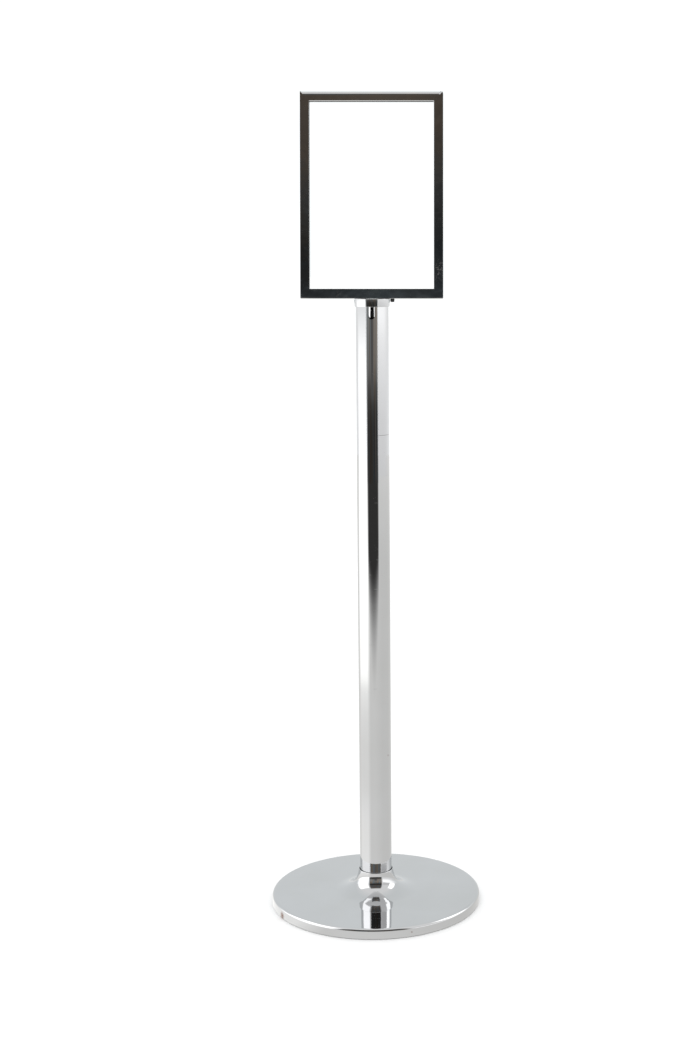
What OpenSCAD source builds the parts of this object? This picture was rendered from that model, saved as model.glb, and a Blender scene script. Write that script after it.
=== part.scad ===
// Sign stand: a weighted base, a slotted rope post and an open sign frame that swivels and tilts on top.
// Millimetres. +Z is up, the front of the sign faces -Y, and the origin is on the floor under the post.

/* [Base] */
// Outside diameter of the base
base_d = 334; // [300:2:380]
// Height of the base at its rim
rim_h = 16.8; // [16:0.2:20]
// Radius that rounds the top of the rim
rim_round = 4.5; // [3:0.5:6]
// Outside diameter of the neck that the post stands in
neck_d = 55.4; // [55:0.1:58]
// Height of the top of the neck above the floor
neck_h = 53; // [50:1:60]
// Thickness of the pressed cover
cover_t = 1.2; // [1:0.1:1.5]

/* [Post] */
// Outside diameter of the post tube
post_d = 50.8; // [50.8:0.1:51]
// Wall thickness of the post tube
post_t = 1.5; // [1.2:0.1:2]
// Height of the top of the cap above the floor
cap_top = 965.5; // [800:0.1:1100]
// Width of each rope slot
slot_w = 9.6; // [8:0.2:11]
// Height of the open part of each rope slot, below the cap
slot_h = 18.8; // [12:0.2:25]
// Angle that the back slot is turned from straight behind the front one
slot_turn = 3.5; // [0:0.5:5]
// Diameter of the tie rod inside the post
rod_d = 6; // [5:0.5:8]

/* [Cap] */
// Height of the skirt of the cap
skirt_h = 12.2; // [12:0.2:20]
// Outside diameter of the cap at the lower edge
cap_low_d = 54; // [53.5:0.1:54.5]
// Outside diameter of the cap at the top
cap_high_d = 55.6; // [55:0.1:56]

/* [Sign frame] */
// Outside width of the frame
frame_w = 219; // [180:1:300]
// Outside height of the frame
frame_h = 314.3; // [250:0.1:430]
// Width of each rail, seen from the front
rail_w = 14.8; // [13:0.2:16]
// Depth of each rail, front to back
rail_d = 14.5; // [13:0.5:16]
// Wall thickness of the rails
rail_t = 1.2; // [1:0.1:1.5]
// Width of the slot that holds the sign
card_slot = 6.5; // [5:0.5:7]
// Angle that the frame leans back at rest
lean = 7; // [5:0.5:8]

/* [Hidden] */
$fn = 64;
gap = 0.15;                        // clearance between fitted parts of one body
run_gap = 0.1;                     // radial clearance of a turning fit

// Base
base_r = base_d / 2;
rim_low = 1;                       // the cover stops short of the floor
neck_r = neck_d / 2;
neck_slope = 4;                    // how far the neck leans out at its top, in degrees
bell_change = [23, 60];            // slopes at which one curve of the bell becomes the next
bell_curve = [50, 20, 60];         // radii of the bell's curves, from the neck down
foot_slope = 88.8;
floor_ring_h = 2.6;
weight_r = base_r - cover_t - 1.3;
weight_chamfer = 5;
nut_well_r = 14;
nut_well_h = 10;

// Post
post_r = post_d / 2;
bore_r = post_r - post_t;
rod_r = rod_d / 2;
socket_flange_r = 36;
socket_flange_h = 5;
socket_h = 42;
nut_across = rod_d * 1.67;
nut_h = rod_d * 0.8;
thin_nut_h = rod_d * 0.5;
washer_t = 1.2;

// Cap
cap_plate_t = 2.4;                 // thickness of the cap's top under the saddle
saddle_h = 1.8;                    // depth of the saddle that the bottom rail sits in
saddle_y = -11.3;                  // front edge of the saddle
swivel_washer_t = 0.5;
plug_flange_t = 1;
plug_floor_t = 2.5;
plug_h = 6.4;
cap_low = cap_top - skirt_h;
seat = cap_top - saddle_h;
skirt_bore_r = post_r + 0.2;
plug_top = seat - cap_plate_t - swivel_washer_t;
tube_top = plug_top - plug_flange_t;
plug_low = tube_top - plug_h;
slot_low = cap_low - slot_h;
boss_r = 3.2;
boss_up = 3.6;                     // height of the set screw above the cap's lower edge
boss_reach = 30;
set_screw_r = 1.6;

// Tilt hinge
hinge_y = 13.5;
hinge_h = 4.4;                     // height of the hinge line above the saddle
hinge_z = seat + hinge_h;
bolt_r = 2.5;
ear_r = 4.4;
ear_in = 14;
ear_out = 17;
lug_r = 4;
lug_t = 3.5;
tilt_washer_t = 0.6;
lug_out = ear_in - tilt_washer_t;
bolt_head_r = 4.2;
bolt_head_end = 20.5;
knob_r = 8.5;
knob_neck_end = 27.8;
knob_end = 34;
knob_flutes = 24;

// Frame: its own coordinates start at the hinge line, with Z up the frame
rail_back = -9.2;                  // back face of the rails
rail_front = rail_back - rail_d;
frame_low = -5.2;
rail_corner = 1;
frame_corner = 2.5;
card_mouth_w = 214;
plate_t = 2;
plate_up = 8;
screw_x = 6;                       // bracket screws, from the middle and up from the hinge line
screw_up = 3.5;

// ---- shared shapes ----

module ring(outer, inner, h) {
    difference() {
        cylinder(r = outer, h = h);
        translate([0, 0, -1]) cylinder(r = inner, h = h + 2);
    }
}

module hex_nut(across, h, bore) {
    difference() {
        cylinder(r = across / 2 / cos(30), h = h, $fn = 6);
        translate([0, 0, -1]) cylinder(r = bore, h = h + 2);
    }
}

// A cylinder along X, from one place to another
module bar_x(r, from, to) {
    translate([from, 0, 0]) rotate([0, 90, 0]) cylinder(r = r, h = to - from);
}

// Moves a child from the hinge line's own coordinates to where the hinge is
module at_hinge() { translate([0, hinge_y, hinge_z]) children(); }

// Places a child given in the frame's own coordinates, leaning back
module leaning() { at_hinge() rotate([-lean, 0, 0]) children(); }

// ---- base ----

// The cover's section as [radius, height, direction of the surface's normal]
function arc_steps(from, to, step) = [for (i = [0 : round(abs(to - from) / step)])
    from + (to - from) * i / round(abs(to - from) / step)];

function last_of(list) = list[len(list) - 1];

neck_low = neck_h - cover_t / 2;
// One curve of the bell, going on from a point on it, as its slope changes
function bell_part(at, radius, from, to) = [for (a = arc_steps(from, to, 4))
    [at[0] + radius * (cos(from) - cos(a)), at[1] - radius * (sin(a) - sin(from)), a]];
bell_top = bell_part([neck_r, neck_low], bell_curve[0], neck_slope, bell_change[0]);
bell_mid = bell_part(last_of(bell_top), bell_curve[1], bell_change[0], bell_change[1]);
bell_foot = bell_part(last_of(bell_mid), bell_curve[2], bell_change[1], foot_slope);
bell_end = last_of(bell_foot);

cover_line = concat(
    bell_top,
    [for (i = [1 : len(bell_mid) - 1]) bell_mid[i]],
    [for (i = [1 : len(bell_foot) - 1]) bell_foot[i]],
    [for (a = arc_steps(90, 0, 10))
        [base_r - rim_round + rim_round * cos(a), rim_h - rim_round + rim_round * sin(a), a]],
    [[base_r, rim_low, 0]]);

module base_cover() {
    edge = cover_t / 2;
    outside = [for (p = cover_line) [p[0], p[1]]];
    inside = [for (i = [len(cover_line) - 1 : -1 : 0])
        let (p = cover_line[i]) [p[0] - cover_t * cos(p[2]), p[1] - cover_t * sin(p[2])]];
    lip = [for (a = arc_steps(neck_slope + 150, neck_slope + 30, 30))
        [neck_r - edge * cos(neck_slope) + edge * cos(a), neck_low - edge * sin(neck_slope) + edge * sin(a)]];
    color("silver") rotate_extrude($fn = 128) polygon(concat(outside, inside, lip));
}

// Height of the underside of the cover's flat part at a radius
function under_cover(r) = bell_end[1] - cover_t
    - (bell_end[1] - rim_h) * (r - bell_end[0]) / (base_r - rim_round - bell_end[0]);

weight_top = under_cover(bell_end[0]) - gap;

module base_weight() {
    shoulder = base_r - rim_round - 4;
    color("dimgray") rotate_extrude($fn = 96) polygon([
        [rod_r + 0.3, floor_ring_h + nut_well_h], [nut_well_r, floor_ring_h + nut_well_h],
        [nut_well_r, floor_ring_h], [weight_r, floor_ring_h],
        [weight_r, under_cover(shoulder) - weight_chamfer - gap], [shoulder, under_cover(shoulder) - gap],
        [bell_end[0], weight_top], [rod_r + 0.3, weight_top]]);
}

module floor_ring() {
    color("black") ring(weight_r, weight_r - 12, floor_ring_h, $fn = 96);
}

module neck_bush() {
    bush_h = 8;
    color("black") translate([0, 0, neck_h - 1.2 - bush_h]) ring(neck_r - cover_t - 0.05, post_r + 0.05, bush_h);
}

// ---- post ----

tube_low = weight_top + socket_flange_h;

module post_socket() {
    color("gray") difference() {
        union() {
            translate([0, 0, weight_top]) cylinder(r = socket_flange_r, h = socket_flange_h);
            translate([0, 0, weight_top]) cylinder(r = bore_r - gap, h = socket_h);
        }
        translate([0, 0, weight_top - 1]) cylinder(r = rod_r + 0.3, h = socket_h + 2);
    }
}

// One slot at the front and one at the back
module rope_slots() {
    for (turn = [0, 180 + slot_turn])
        rotate([0, 0, turn]) {
            translate([-slot_w / 2, -post_r - 1, slot_low + slot_w / 2])
                cube([slot_w, post_r + 1, tube_top - slot_low]);
            translate([0, 0, slot_low + slot_w / 2]) rotate([90, 0, 0]) cylinder(r = slot_w / 2, h = post_r + 1);
        }
}

module post_tube() {
    color("silver") difference() {
        translate([0, 0, tube_low]) ring(post_r, bore_r, tube_top - tube_low);
        rope_slots();
    }
}

nut_seat = floor_ring_h + nut_well_h;
rod_low = nut_seat - washer_t - nut_h - 2;
plug_seat = plug_low + plug_floor_t;

module tie_rod() {
    color("darkgray") translate([0, 0, rod_low])
        cylinder(r = rod_r, h = plug_seat + washer_t + thin_nut_h - rod_low);
}

module base_washer() {
    color("gainsboro") translate([0, 0, nut_seat - washer_t]) ring(rod_r * 2.4, rod_r + 0.2, washer_t);
}

module base_nut() {
    color("gainsboro") translate([0, 0, nut_seat - washer_t - nut_h]) hex_nut(nut_across, nut_h, rod_r);
}

module top_plug() {
    well_r = 9;
    color("gray") difference() {
        union() {
            translate([0, 0, plug_low]) cylinder(r = bore_r - gap, h = plug_h);
            translate([0, 0, tube_top]) cylinder(r = post_r - 0.2, h = plug_flange_t);
        }
        translate([0, 0, plug_low - 1]) cylinder(r = rod_r + 0.3, h = plug_h);
        translate([0, 0, plug_seat]) cylinder(r = well_r, h = plug_h + 2);
    }
}

module top_washer() {
    color("gainsboro") translate([0, 0, plug_seat]) ring(rod_r * 2.4, rod_r + 0.2, washer_t);
}

module top_nut() {
    color("gainsboro") translate([0, 0, plug_seat + washer_t]) hex_nut(nut_across, thin_nut_h, rod_r);
}

// ---- cap that swivels on the post ----

module swivel_washer() {
    color("white") translate([0, 0, plug_top]) ring(post_r - 0.4, 10, swivel_washer_t - 0.05);
}

module ear(side) {
    from = side > 0 ? ear_in : -ear_out;
    at_hinge() bar_x(ear_r, from, from + ear_out - ear_in);
    translate([from, hinge_y - ear_r, seat - 1]) cube([ear_out - ear_in, 2 * ear_r, hinge_h + 1]);
}

module swivel_cap() {
    edge = 1;
    low_r = cap_low_d / 2;
    high_r = cap_high_d / 2;
    color("silver") difference() {
        union() {
            difference() {
                rotate_extrude() union() {
                    polygon([[0, cap_low], [low_r, cap_low], [high_r, cap_top - edge],
                             [high_r - edge, cap_top - edge], [high_r - edge, cap_top], [0, cap_top]]);
                    translate([high_r - edge, cap_top - edge]) circle(r = edge, $fn = 32);
                }
                translate([-high_r - 1, saddle_y, seat]) cube([2 * high_r + 2, 2 * high_r + 2, saddle_h + 1]);
            }
            ear(1);
            ear(-1);
            translate([0, post_r, cap_low + boss_up])
                rotate([-90, 0, 0]) cylinder(r = boss_r, h = boss_reach - post_r);
        }
        translate([0, 0, cap_low - 1]) cylinder(r = skirt_bore_r, h = seat - cap_plate_t - cap_low + 1);
        at_hinge() bar_x(bolt_r, -ear_out - 2, ear_out + 2);
        translate([0, 0, cap_low + boss_up]) rotate([-90, 0, 0]) cylinder(r = set_screw_r, h = boss_reach + 2);
    }
}

module cap_set_screw() {
    tip = post_r + 0.3;
    key_r = 0.9;
    color("dimgray") translate([0, tip, cap_low + boss_up]) rotate([-90, 0, 0]) difference() {
        cylinder(r = set_screw_r, h = boss_reach - tip - 0.5);
        translate([0, 0, 2]) cylinder(r = key_r, h = boss_reach, $fn = 6);
    }
}

module tilt_bolt() {
    dome = 3;
    color("silver") at_hinge() {
        bar_x(bolt_r, -ear_out - 0.5, knob_neck_end + 3);
        bar_x(bolt_head_r, -bolt_head_end + dome, -ear_out);
        intersection() {
            bar_x(bolt_head_r, -bolt_head_end, -bolt_head_end + dome + 0.01);
            translate([-bolt_head_end + 5, 0, 0]) sphere(r = 5);
        }
    }
}

module tilt_washers() {
    color("white") for (from = [-ear_in, lug_out])
        at_hinge() translate([from, 0, 0]) rotate([0, 90, 0])
            translate([0, 0, 0.05]) ring(lug_r, bolt_r + run_gap, tilt_washer_t - 0.1);
}

module tilt_knob() {
    neck_knob_r = 4.1;
    flute_r = 0.6;
    color("dimgray") at_hinge() difference() {
        union() {
            bar_x(neck_knob_r, ear_out + 0.3, knob_neck_end + 0.5);
            bar_x(knob_r, knob_neck_end, knob_end);
        }
        bar_x(bolt_r + run_gap, ear_out, knob_neck_end + 3.3);
        for (i = [0 : knob_flutes - 1])
            rotate([360 * i / knob_flutes, 0, 0]) translate([0, 0, knob_r])
                bar_x(flute_r, knob_neck_end - 1, knob_end + 1, $fn = 16);
    }
}

// ---- sign frame ----

module tilt_bracket() {
    color("silver") leaning() difference() {
        union() {
            translate([-lug_out, rail_back, -lug_r]) cube([2 * lug_out, plate_t, plate_up + lug_r]);
            for (from = [-lug_out, lug_out - lug_t]) {
                bar_x(lug_r, from, from + lug_t);
                translate([from, rail_back, -lug_r]) cube([lug_t, -rail_back, 2 * lug_r]);
            }
        }
        bar_x(bolt_r + run_gap, -lug_out - 1, lug_out + 1);
        for (x = [-screw_x, screw_x])
            translate([x, 0, screw_up]) rotate([90, 0, 0]) cylinder(r = 1.6, h = 20);
    }
}

// Two short screws from behind, through the plate and the back wall of the bottom rail
module bracket_screws() {
    shank_r = 1.5;
    head_r = 2.8;
    head_h = 1.6;
    color("gainsboro") leaning() for (x = [-screw_x, screw_x])
        translate([x, rail_back + plate_t, screw_up]) rotate([90, 0, 0]) difference() {
            union() {
                translate([0, 0, -head_h]) cylinder(r = head_r, h = head_h);
                translate([0, 0, -0.1]) cylinder(r = shank_r, h = plate_t + rail_t + 0.8);
            }
            translate([0, 0, -head_h - 1]) cylinder(r = 1, h = 2, $fn = 6);
        }
}

// Section of a rail: depth along X from front to back, outer edge at Y = 0, slot towards +Y
module rail_section() {
    difference() {
        union() {
            translate([rail_corner, 0]) square([rail_d - 2 * rail_corner, rail_w]);
            translate([0, rail_corner]) square([rail_d, rail_w - 2 * rail_corner]);
            for (x = [rail_corner, rail_d - rail_corner], y = [rail_corner, rail_w - rail_corner])
                translate([x, y]) circle(r = rail_corner, $fn = 32);
        }
        translate([rail_t, rail_t]) square([rail_d - 2 * rail_t, rail_w - 2 * rail_t]);
        translate([(rail_d - card_slot) / 2, rail_w / 2]) square([card_slot, rail_w]);
    }
}

// A straight rail along X from -length / 2, its outer edge down, cut to 45 degrees at both ends
module mitred_rail(length) {
    intersection() {
        translate([-length / 2, rail_front, 0]) rotate([90, 0, 90]) linear_extrude(length) rail_section();
        translate([0, rail_back + 1, 0]) rotate([90, 0, 0]) linear_extrude(rail_d + 2) polygon([
            [-length / 2, 0], [length / 2, 0], [length / 2 - rail_w, rail_w], [rail_w - length / 2, rail_w]]);
    }
}

// The frame's outline, with its corners rounded
module outline() {
    x = frame_w / 2 - frame_corner;
    color("silver") intersection() {
        children();
        translate([0, rail_back + 1, frame_low]) rotate([90, 0, 0]) linear_extrude(rail_d + 2) union() {
            translate([-x, 0]) square([2 * x, frame_h]);
            translate([-frame_w / 2, frame_corner]) square([frame_w, frame_h - 2 * frame_corner]);
            for (i = [-x, x], j = [frame_corner, frame_h - frame_corner])
                translate([i, j]) circle(r = frame_corner, $fn = 32);
        }
    }
}

module bottom_rail() {
    leaning() difference() {
        outline() translate([0, 0, frame_low]) mitred_rail(frame_w);
        for (x = [-screw_x, screw_x])
            translate([x, rail_back + 1, screw_up]) rotate([90, 0, 0]) cylinder(r = 1.5, h = rail_t + 2);
    }
}

module side_rail(side) {
    leaning() outline() translate([side * frame_w / 2, 0, frame_low + frame_h / 2])
        rotate([0, -side * 90, 0]) mitred_rail(frame_h);
}

module left_rail() { side_rail(-1); }

module right_rail() { side_rail(1); }

module top_rail() {
    leaning() difference() {
        outline() translate([0, 0, frame_low + frame_h]) rotate([0, 180, 0]) mitred_rail(frame_w);
        translate([-card_mouth_w / 2, (rail_front + rail_back - card_slot) / 2, frame_low + frame_h - rail_w / 2])
            cube([card_mouth_w, card_slot, rail_w]);
    }
}

base_cover();
base_weight();
floor_ring();
neck_bush();
post_socket();
post_tube();
tie_rod();
base_washer();
base_nut();
top_plug();
top_washer();
top_nut();
swivel_washer();
swivel_cap();
cap_set_screw();
tilt_bolt();
tilt_washers();
tilt_knob();
tilt_bracket();
bracket_screws();
bottom_rail();
left_rail();
right_rail();
top_rail();
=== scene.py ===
import math

import bmesh
import bpy
from mathutils import Matrix, Vector


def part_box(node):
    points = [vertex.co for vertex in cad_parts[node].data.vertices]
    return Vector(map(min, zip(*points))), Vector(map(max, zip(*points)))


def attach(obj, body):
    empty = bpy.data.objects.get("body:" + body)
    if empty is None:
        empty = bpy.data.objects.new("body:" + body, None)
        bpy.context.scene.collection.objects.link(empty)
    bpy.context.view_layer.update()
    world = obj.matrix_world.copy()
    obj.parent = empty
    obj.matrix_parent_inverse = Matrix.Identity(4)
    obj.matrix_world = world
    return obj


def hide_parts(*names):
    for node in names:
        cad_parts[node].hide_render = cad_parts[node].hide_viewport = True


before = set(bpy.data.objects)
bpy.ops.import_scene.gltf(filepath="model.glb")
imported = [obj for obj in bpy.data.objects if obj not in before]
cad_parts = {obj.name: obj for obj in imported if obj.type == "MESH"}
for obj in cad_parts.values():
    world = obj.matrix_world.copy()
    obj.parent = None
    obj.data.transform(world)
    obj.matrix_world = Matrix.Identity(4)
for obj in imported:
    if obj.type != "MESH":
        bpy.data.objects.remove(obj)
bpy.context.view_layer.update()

mm = 0.001
scene = bpy.context.scene
scene.view_settings.view_transform = "Standard"
scene.view_settings.look = "None"


def linkObject(name, mesh):
    obj = bpy.data.objects.new(name, mesh)
    scene.collection.objects.link(obj)
    return obj


def smoothFaces(mesh, sharpAngle):
    mesh.polygons.foreach_set("use_smooth", [True] * len(mesh.polygons))
    mesh.set_sharp_from_angle(angle=math.radians(sharpAngle))


def newObject(name, verts, faces, smoothAngle=35):
    mesh = bpy.data.meshes.new(name)
    mesh.from_pydata([(x * mm, y * mm, z * mm) for x, y, z in verts], [], faces)
    mesh.validate()
    bm = bmesh.new()
    bm.from_mesh(mesh)
    bmesh.ops.remove_doubles(bm, verts=bm.verts, dist=0.002 * mm)
    bmesh.ops.recalc_face_normals(bm, faces=bm.faces)
    bm.to_mesh(mesh)
    bm.free()
    smoothFaces(mesh, smoothAngle)
    return linkObject(name, mesh)


def filletPath(points, steps=10, support=0.35, closed=True):  # points are (a, b, radius)
    out = []
    count = len(points)
    for i, (a, b, radius) in enumerate(points):
        if radius <= 0 or (not closed and i in (0, count - 1)):
            out.append((a, b))
            continue
        here = Vector((a, b))
        before = Vector(points[i - 1][:2]) - here
        after = Vector(points[(i + 1) % count][:2]) - here
        toBefore, toAfter = before.normalized(), after.normalized()
        half = toBefore.angle(toAfter) / 2
        run = min(radius / math.tan(half), before.length * 0.49, after.length * 0.49)
        realRadius = run * math.tan(half)
        start, end = here + toBefore * run, here + toAfter * run
        centre = here + (toBefore + toAfter).normalized() * (realRadius / math.sin(half))
        extra = min(support, (before.length - run) * 0.3)
        if extra > 0.02:
            out.append(tuple(start + toBefore * extra))
        fromVec, toVec = start - centre, end - centre
        sweep = fromVec.angle_signed(toVec)
        for k in range(steps + 1):
            turn = -sweep * k / steps
            c, s = math.cos(turn), math.sin(turn)
            out.append((centre.x + fromVec.x * c - fromVec.y * s, centre.y + fromVec.x * s + fromVec.y * c))
        extra = min(support, (after.length - run) * 0.3)
        if extra > 0.02:
            out.append(tuple(end + toAfter * extra))
    return out


# turns (radius, height) points about Z; change(angle, radius, height) may alter each point
def lathe(name, profile, segments=128, closed=True, change=None, smoothAngle=35):
    verts, faces = [], []
    count = len(profile)
    for s in range(segments):
        angle = 2 * math.pi * s / segments
        for r, z in profile:
            if change:
                r, z = change(angle, r, z)
            verts.append((r * math.cos(angle), r * math.sin(angle), z))
    for s in range(segments):
        t = (s + 1) % segments
        for i in range(count if closed else count - 1):
            j = (i + 1) % count
            faces.append((s * count + i, t * count + i, t * count + j, s * count + j))
    return newObject(name, verts, faces, smoothAngle)


# A flat outline of (x, y) points raised from low to high along Z, with rounded edges
def prism(name, outline, low, high, bevel=0.3, steps=3, smoothAngle=35):
    mesh = bpy.data.meshes.new(name)
    bm = bmesh.new()
    ring = [bm.verts.new((x * mm, y * mm, low * mm)) for x, y in outline]
    face = bm.faces.new(ring)
    raised = bmesh.ops.extrude_face_region(bm, geom=[face])
    tops = [v for v in raised["geom"] if isinstance(v, bmesh.types.BMVert)]
    bmesh.ops.translate(bm, verts=tops, vec=(0, 0, (high - low) * mm))
    bmesh.ops.recalc_face_normals(bm, faces=bm.faces)
    if bevel > 0:
        sharp = [e for e in bm.edges if len(e.link_faces) == 2 and e.calc_face_angle() > math.radians(40)]
        bmesh.ops.bevel(bm, geom=sharp, offset=bevel * mm, segments=steps, profile=0.5, affect="EDGES",
                        clamp_overlap=True)
    bm.to_mesh(mesh)
    bm.free()
    smoothFaces(mesh, smoothAngle)
    return linkObject(name, mesh)


def transformMesh(obj, matrix):
    m = matrix.copy()
    m.translation = m.translation * mm
    obj.data.transform(m)
    return obj


def joinAll(name, parts):  # one mesh from several objects, which keep their sharp edges
    bm = bmesh.new()
    for part in parts:
        bm.from_mesh(part.data)
    mesh = bpy.data.meshes.new(name)
    bm.to_mesh(mesh)
    bm.free()
    for part in parts:
        old = part.data
        bpy.data.objects.remove(part)
        bpy.data.meshes.remove(old)
    smoothFaces(mesh, 35)
    return linkObject(name, mesh)


def subtract(obj, cutters):
    for cutter in cutters:
        mod = obj.modifiers.new("cut", "BOOLEAN")
        mod.object = cutter
        mod.operation = "DIFFERENCE"
        mod.solver = "EXACT"
    applyAll(obj)
    for cutter in cutters:
        bpy.data.objects.remove(cutter)
    return obj


def applyAll(obj):
    graph = bpy.context.evaluated_depsgraph_get()
    mesh = bpy.data.meshes.new_from_object(obj.evaluated_get(graph), depsgraph=graph)
    obj.modifiers.clear()
    obj.data = mesh


def turned(degrees, axis):
    return Matrix.Rotation(math.radians(degrees), 4, axis)


def roundEdges(obj, width, segments):
    mod = obj.modifiers.new("edge", "BEVEL")
    mod.width = width * mm
    mod.segments = segments
    mod.limit_method = "ANGLE"
    mod.angle_limit = math.radians(50)
    applyAll(obj)


def lowHigh(node):  # lowest and highest point of a CAD piece, in millimetres
    low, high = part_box(node)
    return low[2] / mm, high[2] / mm


def arc(cx, cy, radius, fromDeg, toDeg, steps):
    return [(cx + radius * math.cos(math.radians(fromDeg + (toDeg - fromDeg) * i / steps)),
             cy + radius * math.sin(math.radians(fromDeg + (toDeg - fromDeg) * i / steps)))
            for i in range(steps + 1)]


def startMaterial(name):
    mat = bpy.data.materials.new(name)
    mat.use_nodes = True
    tree = mat.node_tree
    tree.nodes.clear()
    out = tree.nodes.new("ShaderNodeOutputMaterial")
    shader = tree.nodes.new("ShaderNodeBsdfPrincipled")
    tree.links.new(shader.outputs[0], out.inputs[0])
    coords = tree.nodes.new("ShaderNodeTexCoord")
    return mat, tree, shader, coords.outputs["Object"]


def put(tree, socket, value):
    if value is None:
        return
    if hasattr(value, "is_output"):
        tree.links.new(value, socket)
    else:
        socket.default_value = value


def calc(tree, op, a, b=None, clamp=False):
    n = tree.nodes.new("ShaderNodeMath")
    n.operation = op
    n.use_clamp = clamp
    put(tree, n.inputs[0], a)
    put(tree, n.inputs[1], b)
    return n.outputs[0]


def times(tree, a, b):
    return calc(tree, "MULTIPLY", a, b)


def plus(tree, a, b, clamp=False):
    return calc(tree, "ADD", a, b, clamp)


def minus(tree, a, b):
    return calc(tree, "SUBTRACT", a, b)


def noise(tree, coords, scale, detail=3.0, rough=0.5, distort=0.0):
    n = tree.nodes.new("ShaderNodeTexNoise")
    put(tree, n.inputs["Vector"], coords)
    n.inputs["Scale"].default_value = scale
    n.inputs["Detail"].default_value = detail
    n.inputs["Roughness"].default_value = rough
    n.inputs["Distortion"].default_value = distort
    return n.outputs["Fac"]


def spots(tree, coords, scale, randomness=1.0):
    n = tree.nodes.new("ShaderNodeTexVoronoi")
    put(tree, n.inputs["Vector"], coords)
    n.inputs["Scale"].default_value = scale
    n.inputs["Randomness"].default_value = randomness
    return n.outputs["Distance"]


def stretch(tree, coords, scale, turn=(0, 0, 0)):
    n = tree.nodes.new("ShaderNodeMapping")
    put(tree, n.inputs["Vector"], coords)
    n.inputs["Scale"].default_value = scale
    n.inputs["Rotation"].default_value = turn
    return n.outputs[0]


def spread(tree, value, low, high, outLow=0.0, outHigh=1.0):
    n = tree.nodes.new("ShaderNodeMapRange")
    put(tree, n.inputs["Value"], value)
    n.inputs["From Min"].default_value = low
    n.inputs["From Max"].default_value = high
    n.inputs["To Min"].default_value = outLow
    n.inputs["To Max"].default_value = outHigh
    return n.outputs["Result"]


def blendColour(tree, factor, a, b):
    n = tree.nodes.new("ShaderNodeMix")
    n.data_type = "RGBA"
    put(tree, n.inputs["Factor"], factor)
    for socket, colour in ((n.inputs[6], a), (n.inputs[7], b)):
        put(tree, socket, colour if hasattr(colour, "is_output") else tuple(colour) + (1,))
    return n.outputs[2]


def bump(tree, height, distance, strength=1.0, under=None):
    n = tree.nodes.new("ShaderNodeBump")
    n.inputs["Distance"].default_value = distance
    n.inputs["Strength"].default_value = strength
    put(tree, n.inputs["Height"], height)
    if under is not None:
        put(tree, n.inputs["Normal"], under)
    return n.outputs[0]


def nearPoint(tree, coords, point, radius, soft):  # 1 at a point, falling to 0 at radius
    n = tree.nodes.new("ShaderNodeVectorMath")
    n.operation = "DISTANCE"
    put(tree, n.inputs[0], coords)
    n.inputs[1].default_value = point
    return spread(tree, n.outputs["Value"], radius, radius * (1 - soft))


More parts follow.
